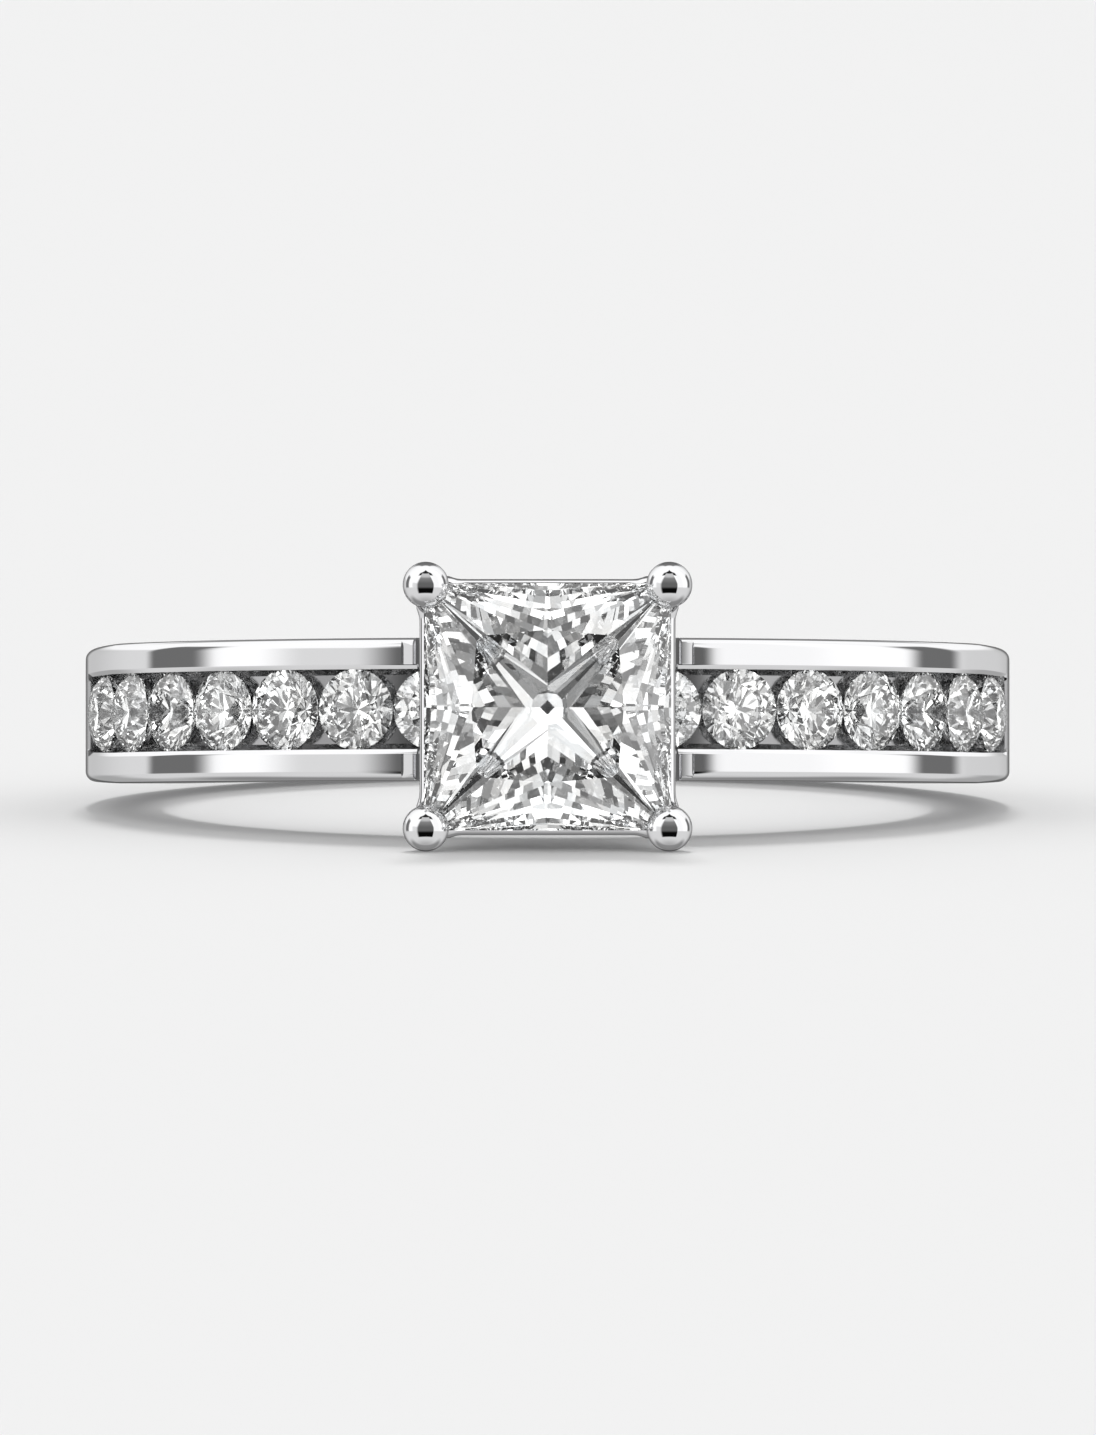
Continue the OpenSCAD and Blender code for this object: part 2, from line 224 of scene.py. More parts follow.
sections = {state: half_section(state) for state in ("channel", "seat", "bevel", "closed")}
edge, bed = sections["channel"][1], sections["channel"][2]
print("points in a section:", 2 * len(edge) - 2)


# %% Rails beside the head
def rail_drop(x):
    """How deep the rail face lies at a distance x across from the head: a cove that rises toward the head
    between COVE_FROM and SLOT_FROM, a narrow slot, and a lowered seat inside STEP_HALF. The right-hand cove
    is the flatter one."""
    gain = np.where(x > 0, COVE_RISE_RIGHT, COVE_RISE_LEFT)
    x = np.abs(x)
    cove = COVE_DEEP - gain * (COVE_FROM - x) / (COVE_FROM - SLOT_FROM)
    return np.select([x >= COVE_FROM, x >= SLOT_FROM, x >= STEP_HALF], [0.0, cove, SLOT_DEEP], STEP_DEEP)


def across(x):
    """Angle from the head, in degrees, of a point x across on the outer face."""
    return float(np.degrees(np.arcsin(x / OUTER_R)))


edges = [across(x) for x in (STEP_HALF, SLOT_FROM, COVE_FROM)]
print("seat, slot and cove start at degrees:", [round(e, 2) for e in edges])

# %% Stations round the finger
FINE_STEP = 0.32
BACK_STATIONS = 110
BACK_START = CHANNEL_END + 1.2
EDGE_CLEAR = 0.12
fine = np.arange(-CHANNEL_END, CHANNEL_END + 0.01, FINE_STEP)
plain = np.linspace(BACK_START, 360 - BACK_START, BACK_STATIONS)
stations = [a for a in fine if min(abs(abs(a) - e) for e in edges) > EDGE_CLEAR]
stations += [s * (e + d) for s in (-1, 1) for e in edges for d in (-0.02, 0.02)]
stations += [s * (CHANNEL_END + d) for s in (-1, 1) for d in (0.02, 0.28, 0.4)]
angles = np.array(sorted(stations + list(plain)))
off = np.abs(angles)
states = np.select([off < edges[0], off <= CHANNEL_END + 0.001, off < CHANNEL_END + 0.03],
                   ["seat", "channel", "bevel"], "closed")
upper = np.stack([sections[state][0] for state in states])
print("stations:", len(angles), {state: int((states == state).sum()) for state in sections})


# %% The shank as one swept surface
def shank_points():
    """Point (r, z) of station a becomes (r sin a, -r cos a, z). Rail rows sink by rail_drop(r sin a), the
    side faces close in toward the back by max(0, y + TAPER_FROM) tan(taper), and each seat lowers the floor
    by a cone that narrows from SEAT_R at the floor to HOLE_R at its foot. Rows below CHANNEL_HALF keep their
    height, as the channel's bed must. At the closed stations, where all rows lie on the outer face, this
    folds a thin strip of it over itself; share without its last factor there would mend that."""
    r, z = upper[..., 0].copy(), upper[..., 1].copy()
    a = np.radians(angles)[:, None]
    drop = rail_drop(OUTER_R * np.sin(a)) * (np.cos(a) > 0)
    r = np.where(edge[None, :] >= 1.5, np.minimum(r, OUTER_R - drop), r)
    narrow = np.maximum(0.0, -r * np.cos(a) + TAPER_FROM) * taper_tan
    on_side = (edge[None, :] > 0) & (edge[None, :] < 2)
    share = np.clip(z / (BAND_HALF - EDGE_R), 0, 1) * (z > CHANNEL_HALF)
    z -= narrow * np.where(on_side, 1.0, share)
    r_all = np.concatenate([r, r[:, 1:-1][:, ::-1]], 1)
    z_all = np.concatenate([z, -z[:, 1:-1][:, ::-1]], 1)
    bed_all = np.concatenate([bed, bed[1:-1][::-1]])
    side = SIDE_FIRST + SIDE_PITCH * np.arange(SIDE_COUNT)
    centres = np.radians(np.concatenate([[0.0], side, -side]))
    away = np.min(np.abs((a[:, :, None] - centres + np.pi) % (2 * np.pi) - np.pi), -1) * FLOOR_R
    rho = np.hypot(away, z_all)
    sunk = np.clip((SEAT_R - rho) / (SEAT_R - HOLE_R), 0, 1) * (FLOOR_R - GIRDLE_R + HOLE_DEEP)
    is_floor = np.abs(r_all - FLOOR_R) < 1e-6
    r_all = np.where(is_floor & (bed_all[None, :] > 0), r_all - sunk, r_all)
    points = np.stack([r_all * np.sin(a), -r_all * np.cos(a), z_all], -1)
    return points, np.broadcast_to(bed_all, r_all.shape)


def floats(obj, name, values):
    """Stores one number per vertex, for materials to read."""
    layer = obj.data.attributes.new(name, "FLOAT", "POINT")
    layer.data.foreach_set("value", np.ascontiguousarray(values, np.float32).ravel())


points, bed_all = shank_points()
shank = new_mesh("shank_metal", laid(points), grid_faces(*points.shape[:2], True, True), True, 28)
# this mark is where the shank's finish is rougher and where painted shade darkens its colour
floats(shank, "channel", bed_all)
print("shank faces:", len(shank.data.polygons))

# %% [markdown]
# Cut stones
# ----------
# A stone is ground flat by flat against a wheel. A block cut by a boolean for each facet would copy that,
# but a hundred of them are slow and leave slivers. A cut stone is the space under its facet planes, so that
# is how both cuts are made. Every facet is a plane n . p = d. All corners come from one batch of 3 x 3
# systems, three planes at a time. Those that lie under all other planes are real corners, and each facet is
# the ring of corners on its plane.

# %% A stone from its facet planes
def facet(azimuth, slope, reach, height, up=1.0):
    """Plane that slopes down (or up, for up = -1) outward by slope degrees and passes reach at height."""
    az, sl = np.radians(azimuth), np.radians(slope)
    n = np.array([np.sin(sl) * np.cos(az), np.sin(sl) * np.sin(az), up * np.cos(sl)])
    return np.append(n, n[2] * height + np.sin(sl) * reach)


def cut_stone(planes):
    """Corners and facets of the convex solid n . p <= d, for rows (nx, ny, nz, d)."""
    planes = np.asarray(planes)
    n, d = planes[:, :3], planes[:, 3]
    triples = np.array(list(combinations(range(len(planes)), 3)))
    matrix = n[triples]
    good = np.abs(np.linalg.det(matrix)) > 1e-5
    corners = np.linalg.solve(matrix[good], d[triples[good]][..., None])[..., 0]
    corners = corners[(corners @ n.T <= d + 1e-6).all(1)]
    corners = np.unique(np.round(corners, 5), axis=0)
    faces = []
    for k in range(len(planes)):
        on = np.flatnonzero(np.abs(corners @ n[k] - d[k]) < 3e-5)
        if len(on) < 3:
            continue
        flat = corners[on] - corners[on].mean(0)
        u = flat[0] / np.linalg.norm(flat[0])
        v = np.cross(n[k], u)
        faces.append(on[np.argsort(np.arctan2(flat @ v, flat @ u))].tolist())
    return corners, faces


def brilliant_planes(sides=48):
    """Round brilliant of girdle radius 1, girdle top at 0: table 56%, crown 34.5, pavilion 41 degrees."""
    tan, cos = (lambda a: np.tan(np.radians(a))), (lambda a: np.cos(np.radians(a)))
    table, crown, pavilion, girdle, low = 0.56, 34.5, 41.0, 0.06, 0.24
    top = (1 - table) * tan(crown)
    star = (table * cos(22.5) + 1) / 2
    star_z = (1 - star * cos(22.5)) * tan(crown)
    star_slope = np.degrees(np.arctan2(top - star_z, star - table * cos(22.5)))
    upper_slope = np.degrees(np.arctan2(star_z, cos(11.25) - star * cos(11.25)))
    low_z = (1 - low * cos(22.5)) * tan(pavilion)
    low_slope = np.degrees(np.arctan2(low_z, cos(11.25) - low * cos(11.25)))
    rows = [facet(0, 0, 0, top)]
    rows += [facet(45 * k, crown, 1, 0) for k in range(8)]
    rows += [facet(45 * k + 22.5, star_slope, table * cos(22.5), top) for k in range(8)]
    rows += [facet(22.5 * k + 11.25, upper_slope, cos(11.25), 0) for k in range(16)]
    rows += [facet(360 / sides * (k + 0.5), 90, np.cos(np.pi / sides), 0) for k in range(sides)]
    rows += [facet(45 * k, pavilion, 1, -girdle, -1) for k in range(8)]
    rows += [facet(22.5 * k + 11.25, low_slope, cos(11.25), -girdle, -1) for k in range(16)]
    return np.array(rows)


TABLE = 0.55
CROWN = ((0, 50.0), (5, 26.0))
MAIN = 0.99
CULET = 0.96
ROWS = ((0, 0.9), (3, 0.8), (6, 0.7), (10, 0.6), (14, 0.5),
        (19, 0.4), (25, 0.29), (32, 0.17), (39, 0.07), (43, 0.0))


def princess_planes():
    """Square cut of half width STONE_HALF, girdle top at 0. A plane of azimuth a through the girdle corner
    has reach cos a + sin a. Crown: per side, the facets of CROWN as (azimuth, slope), a pair where the
    azimuth isn't 0, and a hip on each corner. Pavilion: the chevron rows of ROWS as (azimuth, x), each
    crossing the next on the side's middle line at x half widths, a narrow main on each diagonal, and a small
    flat point."""
    half = STONE_HALF
    rows = [facet(0, 0, 0, CROWN_H)]
    hip = np.degrees(np.arctan2(CROWN_H, np.sqrt(2) * half * (1 - TABLE)))
    for k in range(4):
        rows.append(facet(90 * k, 90, half, 0))
        for azimuth, slope in CROWN:
            reach = half * (np.cos(np.radians(azimuth)) + np.sin(np.radians(azimuth)))
            rows += [facet(90 * k + s * azimuth, slope, reach, 0) for s in ((-1, 1) if azimuth else (1,))]
        rows.append(facet(90 * k + 45, hip, half * np.sqrt(2), 0))
    depth = PAVILION_H / half
    for i in range(len(ROWS) - 1, -1, -1):
        azimuth, x = ROWS[i]
        a = np.radians(azimuth)
        reach = np.cos(a) + np.sin(a)
        slope = depth / (reach - x * np.cos(a))
        if i:
            depth = (reach - ROWS[i - 1][1] * np.cos(a)) * slope
        steep = np.degrees(np.arctan(slope))
        rows += [facet(90 * k + s * azimuth, steep, half * reach, -GIRDLE_H, -1)
                 for k in range(4) for s in ((-1, 1) if azimuth else (1,))]
    main = np.degrees(np.arctan(PAVILION_H / half * MAIN / np.sqrt(2)))
    rows += [facet(90 * k + 45, main, half * np.sqrt(2), -GIRDLE_H, -1) for k in range(4)]
    rows.append(np.array([0, 0, -1.0, PAVILION_H * CULET + GIRDLE_H]))
    return np.array(rows)


# %% Square stone in the head
corners, faces = cut_stone(princess_planes())
centre_gem = new_mesh("centre_gem_cut", laid(outward(corners + [0, 0, GIRDLE_TOP], 0)), faces)
print("centre stone facets:", len(faces), "corners:", len(corners))

# %% Round stones in the channel
round_corners, round_faces = cut_stone(brilliant_planes())
side_gems = {}
for side, sign in (("l", -1), ("r", 1)):
    for k in range(SIDE_COUNT):
        angle = sign * (SIDE_FIRST + k * SIDE_PITCH)
        seat = round_corners * SIDE_R + [0, 0, GIRDLE_R + 0.03 * SIDE_R]
        name = f"side_gem_{side}{k + 1}"
        side_gems[name] = new_mesh(name, laid(outward(seat, angle)), round_faces)
print("side stone facets:", len(round_faces), "stones:", len(side_gems))

# %% [markdown]
# The head
# --------
# The head is a basket of wire: four prongs lean outward from the rails to the stone's corners, a gallery
# wire runs square round the stone just under its girdle, and a lower wire ties the prongs together. Each
# prong is melted to a ball that is pushed over the stone's corner. A prong is one surface of revolution
# about its own line, with a flared foot and the ball at its end. A wire is a tube that thickens a little
# where solder joins it. Curves with a round bevel would make tubes too, but not a foot, a ball and solder
# on one line, so each is a profile of radii carried along its line. The stone's shape, grown by a few
# hundredths, is then cut out of them.

# %% Tubes and prongs
def tube(a, b, radii, sides=40):
    """Closed tube from a to b (ring frame): circles of radii[i, 1] at distance radii[i, 0] from a."""
    a, b = np.asarray(a, float), np.asarray(b, float)
    w = (b - a) / np.linalg.norm(b - a)
    u = np.cross(w, [0.0, 0.0, 1.0] if abs(w[2]) < 0.9 else [1.0, 0.0, 0.0])
    u /= np.linalg.norm(u)
    v = np.cross(w, u)
    t = np.linspace(0, 2 * np.pi, sides, endpoint=False)
    circle = np.cos(t)[:, None] * u + np.sin(t)[:, None] * v
    points = a + radii[:, 0, None, None] * w + radii[:, 1, None, None] * circle[None]
    faces = grid_faces(len(radii), sides, False, True).tolist()
    faces += [list(range(sides))[::-1], list(range((len(radii) - 1) * sides, len(radii) * sides))]
    return points.reshape(-1, 3), faces


def prong_profile(length):
    """Rows (s, radius) along a prong's line: a shaft with a flared foot, PRONG_R - 0.01 + 0.12 exp(-((s -
    0.25) / 0.22)^2), which runs into a ball, sqrt(BALL_R^2 - (s - length)^2), about the tip."""
    neck = length - 0.3
    over_ball = length + BALL_R * np.sin(np.radians(np.linspace(-32, 89, 34)))
    s = np.concatenate([np.linspace(0, neck, 50), over_ball])
    ball = np.sqrt(np.maximum(BALL_R ** 2 - (s - length) ** 2, 1e-6))
    shaft = PRONG_R - 0.01 + 0.12 * np.exp(-((s - 0.25) / 0.22) ** 2)
    radius = np.where(s > neck, np.where(s > length, ball, np.maximum(ball, shaft)), shaft)
    return np.stack([s, radius], -1)


def wire_profile(span):
    """Rows (d, radius) along a wire: WIRE_R, and 0.07 more in a bell 0.38 from each end, where solder is."""
    d = np.linspace(0, span, 60)
    solder = 0.07 * (np.exp(-((d - 0.38) / 0.16) ** 2) + np.exp(-((span - d - 0.38) / 0.16) ** 2))
    return np.stack([d, WIRE_R + solder], -1)


def head_parts():
    """Four prongs and eight wires, as lists of points and faces in the piece frame of the head. The gallery
    wire keeps outside the stone; the lower wire's corners lie on the prongs' lines."""
    foot = np.array([FOOT_ACROSS, FOOT_ALONG, FOOT_UP])
    tip = np.array([TIP_AT, TIP_AT, TIP_UP])
    profile = prong_profile(np.linalg.norm(tip - foot))
    parts = []
    for sx in (-1, 1):
        for sy in (-1, 1):
            parts.append(tube(foot * [sx, sy, 1], tip * [sx, sy, 1], profile, 48))
    gallery = STONE_HALF + 0.1 - WIRE_R
    t = (LOWER_WIRE_UP - FOOT_UP) / (TIP_UP - FOOT_UP)
    lower = (foot + (tip - foot) * t)[:2]
    for height, (x, y) in ((GALLERY_UP, (gallery, gallery)), (LOWER_WIRE_UP, lower)):
        for side in (-1, 1):
            for start, end in (([-x, side * y], [x, side * y]), ([side * x, -y], [side * x, y])):
                profile = wire_profile(np.hypot(*(np.array(end) - start)))
                parts.append(tube([*start, height], [*end, height], profile, 28))
    return parts


def joined(parts):
    """One list of points and faces from several."""
    points, faces, base = [], [], 0
    for p, f in parts:
        points.append(p)
        faces += [[i + base for i in face] for face in f]
        base += len(p)
    return np.concatenate(points), faces


points, faces = joined(head_parts())
head = new_mesh("head_basket", laid(outward(points, 0)), faces)
print("head faces before the seat is cut:", len(faces))

# %% The stone's seat, cut out of the head
SEAT_CLEAR = 0.03
grown = princess_planes()
grown[:, 3] += SEAT_CLEAR
cut_corners, cut_faces = cut_stone(grown)
cutter = new_mesh("seat_cutter", laid(outward(cut_corners + [0, 0, GIRDLE_TOP], 0)), cut_faces)
modifier = head.modifiers.new("seat", "BOOLEAN")
modifier.operation, modifier.object, modifier.solver, modifier.use_self = "DIFFERENCE", cutter, "EXACT", True
cut = bpy.data.meshes.new_from_object(head.evaluated_get(bpy.context.evaluated_depsgraph_get()))
head.modifiers.clear()
head.data = cut
bpy.data.objects.remove(cutter)
head.data.shade_smooth()
head.data.set_sharp_from_angle(angle=np.radians(32))
print("head faces after the seat is cut:", len(head.data.polygons))

# %% [markdown]
# White gold
# ----------
# White gold is polished to a mirror, so its look is what it reflects. What it does show of its own is hair
# lines from wiping, which one node group gives to both metal finishes, and rougher metal down in the
# channel, where no buff reaches. The colour there is darkened too. That is painted shade, for the shade that
# stones and rails cast into the channel. A second material on the bed's faces would draw a hard line round
# it, so the bed is marked by a number on each vertex instead, and the shader mixes by it. The mark goes all
# round the shank on the same rows. Past the channel's ends those rows lie on the outer face, so the middle
# of the plain back is rougher and painted darker too, which a real ring's isn't. Marking only the stations
# of the channel would mend that.

# %% Shader helpers
def material(name):
    """New node material with only its output and a Principled shader."""
    mat = bpy.data.materials.new(name)
    mat.use_nodes = True
    tree = mat.node_tree
    return mat, tree, tree.nodes["Principled BSDF"]


def wire_up(tree, a, b):
    """Leads output a to input b."""
    tree.links.new(a, b)


# %% Marks of polishing
def polish_group():
    """Group: object position in; hair lines as a height, and a roughness that varies with handling."""
    tree = bpy.data.node_groups.new("polish_marks", "ShaderNodeTree")
    add = tree.interface.new_socket
    add(name="Position", in_out="INPUT", socket_type="NodeSocketVector")
    for name, value in (("Line Scale", 900.0), ("Smooth Roughness", 0.03), ("Rough Spread", 0.05)):
        socket = add(name=name, in_out="INPUT", socket_type="NodeSocketFloat")
        socket.default_value = value
    add(name="Height", in_out="OUTPUT", socket_type="NodeSocketFloat")
    add(name="Roughness", in_out="OUTPUT", socket_type="NodeSocketFloat")
    inp, out = tree.nodes.new("NodeGroupInput"), tree.nodes.new("NodeGroupOutput")
    stretch = tree.nodes.new("ShaderNodeMapping")
    stretch.inputs["Scale"].default_value = (1.0, 1.0, 14.0)
    lines = tree.nodes.new("ShaderNodeTexNoise")
    lines.inputs["Detail"].default_value = 3.0
    smear = tree.nodes.new("ShaderNodeTexNoise")
    smear.inputs["Scale"].default_value = 420.0
    smear.inputs["Detail"].default_value = 4.0
    rough = tree.nodes.new("ShaderNodeMath")
    rough.operation = "MULTIPLY_ADD"
    wire_up(tree, inp.outputs["Position"], stretch.inputs["Vector"])
    wire_up(tree, stretch.outputs["Vector"], lines.inputs["Vector"])
    wire_up(tree, inp.outputs["Line Scale"], lines.inputs["Scale"])
    wire_up(tree, inp.outputs["Position"], smear.inputs["Vector"])
    wire_up(tree, smear.outputs["Fac"], rough.inputs[0])
    wire_up(tree, inp.outputs["Rough Spread"], rough.inputs[1])
    wire_up(tree, inp.outputs["Smooth Roughness"], rough.inputs[2])
    wire_up(tree, lines.outputs["Fac"], out.inputs["Height"])
    wire_up(tree, rough.outputs["Value"], out.inputs["Roughness"])
    return tree


polish = polish_group()
print("group:", polish.name, "with", len(polish.nodes), "nodes")

# %% Polished metal
# painted shade: the darker colour of the channel's bed stands in for the shade there; the added roughness is
# the finish
BED_SHADE_COLOUR = (0.4, 0.4, 0.405)
BED_DULLER = 0.12
HAIR_LINE_M = 0.0000006


def metal(name, colour, smooth, spread, edge_tint, channel=False):
    """Polished white gold. edge_tint is how much it reflects near grazing sight, which draws dark outlines.
    Where channel is set, the rows that the piece's attribute marks are rougher, and darker by painted shade."""
    mat, tree, shader = material(name)
    coords = tree.nodes.new("ShaderNodeTexCoord")
    marks = tree.nodes.new("ShaderNodeGroup")
    marks.node_tree = polish
    marks.inputs["Smooth Roughness"].default_value = smooth
    marks.inputs["Rough Spread"].default_value = spread
    bump = tree.nodes.new("ShaderNodeBump")
    bump.inputs["Strength"].default_value = 0.05
    bump.inputs["Distance"].default_value = HAIR_LINE_M
    wire_up(tree, coords.outputs["Object"], marks.inputs["Position"])
    wire_up(tree, marks.outputs["Height"], bump.inputs["Height"])
    wire_up(tree, bump.outputs["Normal"], shader.inputs["Normal"])
    shader.inputs["Metallic"].default_value = 1.0
    shader.inputs["Base Color"].default_value = (*colour, 1)
    shader.inputs["Specular Tint"].default_value = (edge_tint, edge_tint, edge_tint, 1)
    if not channel:
        wire_up(tree, marks.outputs["Roughness"], shader.inputs["Roughness"])
        return mat
    mask = tree.nodes.new("ShaderNodeAttribute")
    mask.attribute_name = "channel"
    dull = tree.nodes.new("ShaderNodeMath")
    dull.operation = "MULTIPLY_ADD"
    dull.inputs[1].default_value = BED_DULLER
    # painted shade: the marked rows mix toward the darker colour
    tint = tree.nodes.new("ShaderNodeMix")
    tint.data_type = "RGBA"
    tint.inputs["A"].default_value = (*colour, 1)
    tint.inputs["B"].default_value = (*BED_SHADE_COLOUR, 1)
    wire_up(tree, mask.outputs["Fac"], dull.inputs[0])
    wire_up(tree, marks.outputs["Roughness"], dull.inputs[2])
    wire_up(tree, dull.outputs["Value"], shader.inputs["Roughness"])
    wire_up(tree, mask.outputs["Fac"], tint.inputs["Factor"])
    wire_up(tree, tint.outputs["Result"], shader.inputs["Base Color"])
    return mat


shank_finish = metal("white_gold_shank", (0.86, 0.86, 0.87), 0.025, 0.05, 0.9, True)
head_finish = metal("white_gold_head", (0.88, 0.88, 0.89), 0.015, 0.04, 0.4)
print("metal finishes:", shank_finish.name, head_finish.name)

# %% [markdown]
# Diamond
# -------
# Diamond bends light strongly, with an index of 2.417, and is nearly colourless. A glass shader with that
# index gives the mirror flashes and the broken image of what lies behind, since every facet is real. A plain
# white glass would look dead beside metal, so the tint drifts a little between warm and cool from place to
# place. That is painted fire: the patches stand in for the coloured light that a cut stone splits off by
# dispersion, not for a colour of the stone.

# %% Cut stone's finish
DIAMOND_INDEX = 2.417
PATCH_SCALE = 2600.0


def diamond(name, warm, cool):
    """Colourless stone: clear Principled glass whose tint lies between warm and cool by a cell's number, as
    painted fire.
    """
    mat, tree, shader = material(name)
    coords = tree.nodes.new("ShaderNodeTexCoord")
    patch = tree.nodes.new("ShaderNodeTexVoronoi")
    patch.inputs["Scale"].default_value = PATCH_SCALE
    # painted fire: warm and cool tint patches stand in for the coloured light of dispersion
    fire = tree.nodes.new("ShaderNodeMix")
    fire.data_type = "RGBA"
    fire.inputs["A"].default_value = (*warm, 1)
    fire.inputs["B"].default_value = (*cool, 1)
    split = tree.nodes.new("ShaderNodeSeparateColor")
    wire_up(tree, coords.outputs["Object"], patch.inputs["Vector"])
    wire_up(tree, patch.outputs["Color"], split.inputs["Color"])
    wire_up(tree, split.outputs["Red"], fire.inputs["Factor"])
    wire_up(tree, fire.outputs["Result"], shader.inputs["Base Color"])
    shader.inputs["Metallic"].default_value = 0.0
    shader.inputs["Roughness"].default_value = 0.0
    shader.inputs["IOR"].default_value = DIAMOND_INDEX
    shader.inputs["Transmission Weight"].default_value = 1.0
    return mat


centre_finish = diamond("centre_diamond", (1.0, 0.99, 0.97), (0.96, 0.985, 1.0))
side_finish = diamond("side_diamond", (1.0, 0.995, 0.975), (0.97, 0.99, 1.0))
print("stone finishes:", centre_finish.name, side_finish.name)

# %% [markdown]
# Pieces of the model
# -------------------
# On the real ring all metal is soldered into one piece, and the model has it as one node. Here shank and
# head are two meshes, because their finishes differ, and both stand in for that node. Each stone stands in
# for its own node. Nothing on a ring moves, so every piece rides on the one body, root.

# %% Dress every piece
shank.data.materials.append(shank_finish)
head.data.materials.clear()
head.data.materials.append(head_finish)
centre_gem.data.materials.append(centre_finish)
for gem in side_gems.values():
    gem.data.materials.append(side_finish)

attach(shank, "root")
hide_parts("ring_body")
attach(head, "root")
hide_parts("ring_body")
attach(centre_gem, "root")
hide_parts("centre_stone")
for name, gem in side_gems.items():
    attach(gem, "root")
    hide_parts(name.replace("gem", "stone"))
print("pieces dressed:", 3 + len(side_gems))

# %% [markdown]
# The floor
# ---------
# The photograph has a seamless pale ground. A sheet curved up behind the ring would give one, but the camera
# looks down by a few degrees, so a big plain plane already fills the whole picture. The metal doesn't mirror
# it, and the stones don't show it, because the studio below has its own ground, which is easier to shade.

# %% Floor
FLOOR_HALF_M = 8.0
FLOOR_GREY = 0.76
floor_points = FLOOR_HALF_M * np.array([[-1, -1, 0], [1, -1, 0], [1, 1, 0], [-1, 1, 0]])
floor = new_mesh("pale_floor", floor_points, [[0, 1, 2, 3]])
floor_finish, tree, shader = material("pale_floor")
shader.inputs["Base Color"].default_value = (FLOOR_GREY, FLOOR_GREY, FLOOR_GREY, 1)
shader.inputs["Roughness"].default_value = 0.9
shader.inputs["Specular IOR Level"].default_value = 0.0
floor.data.materials.append(floor_finish)
floor.visible_glossy = False
floor.visible_transmission = False
print("floor is", 2 * FLOOR_HALF_M, "m wide")

# %% [markdown]
# The studio
# ----------
# Polished metal shows nothing but its surroundings, so a studio for jewellery is white and black card round
# a dark opening, where the camera looks in. Cards could be modelled as planes of light, but they would shade
# the floor and stand in the way of other views. Here the world's brightness is worked out from the direction
# alone: azimuth, in degrees from the camera's side toward the right, and elevation. A card is a mask, made
# of smooth ramps, and a brightness that takes the place of what is under it, so later cards lie on top.

# %% Nodes that paint by direction
world = bpy.data.worlds.new("studio")
bpy.context.scene.world = world
world.use_nodes = True
sky = world.node_tree
sky.nodes.clear()


def maths(op, a, b=None, c=None):
    """One Math node; each of a, b and c is a number or another node's output."""
    node = sky.nodes.new("ShaderNodeMath")
    node.operation = op
    for k, v in enumerate((a, b, c)):
        if v is None:
            continue
        if hasattr(v, "is_output"):
            sky.links.new(v, node.inputs[k])
        else:
            node.inputs[k].default_value = v
    return node.outputs[0]


def ramp(value, lo, hi):
    """0 below lo, 1 above hi, smooth between; falls instead where lo is above hi."""
    node = sky.nodes.new("ShaderNodeMapRange")
    node.interpolation_type = "SMOOTHSTEP"
    sky.links.new(value, node.inputs["Value"])
    node.inputs["From Min"].default_value = min(lo, hi)
    node.inputs["From Max"].default_value = max(lo, hi)
    node.inputs["To Min"].default_value = float(lo > hi)
    node.inputs["To Max"].default_value = float(lo < hi)
    return node.outputs["Result"]


def both(*masks):
    """1 where every mask is 1: their product."""
    product = masks[0]
    for mask in masks[1:]:
        product = maths("MULTIPLY", product, mask)
    return product


def band(value, start, full, last, stop):
    """1 from full to last, 0 below start and above stop, smooth between."""
    return both(ramp(value, start, full), ramp(value, stop, last))


def lay_cards(level, cards):
    """Lays each card (name, mask, value) over those before it: level + (value - level) mask."""
    for name, mask, value in cards:
        level = maths("MULTIPLY_ADD", maths("SUBTRACT", value, level), mask, level)
        level.node.label = name
    return level


def louvred(level, period, amount):
    """Dims a level by the given amount in bars, across and upward, that repeat every period degrees."""
    for angle in (azimuth, high):
        wave = maths("SINE", maths("MULTIPLY", angle, 2 * np.pi / period))
        level = maths("MULTIPLY", level, maths("MULTIPLY_ADD", ramp(wave, -0.25, 0.25), -amount, 1.0))
    return level


# %% Directions in degrees
IN_DEGREES = 57.2958
STONE_LEAN = 6.0
direction = sky.nodes.new("ShaderNodeTexCoord").outputs["Generated"]
split = sky.nodes.new("ShaderNodeSeparateXYZ")
sky.links.new(direction, split.inputs[0])
to_camera = maths("MULTIPLY", split.outputs["Y"], -1.0)
azimuth = maths("MULTIPLY", maths("ARCTAN2", split.outputs["X"], to_camera), IN_DEGREES)
elevation = maths("MULTIPLY", maths("ARCSINE", split.outputs["Z"]), IN_DEGREES)
high = maths("SUBTRACT", elevation, STONE_LEAN)
off_axis = maths("ABSOLUTE", azimuth)
print("the stones' cards are raised by", STONE_LEAN, "degrees, because the ring leans back")

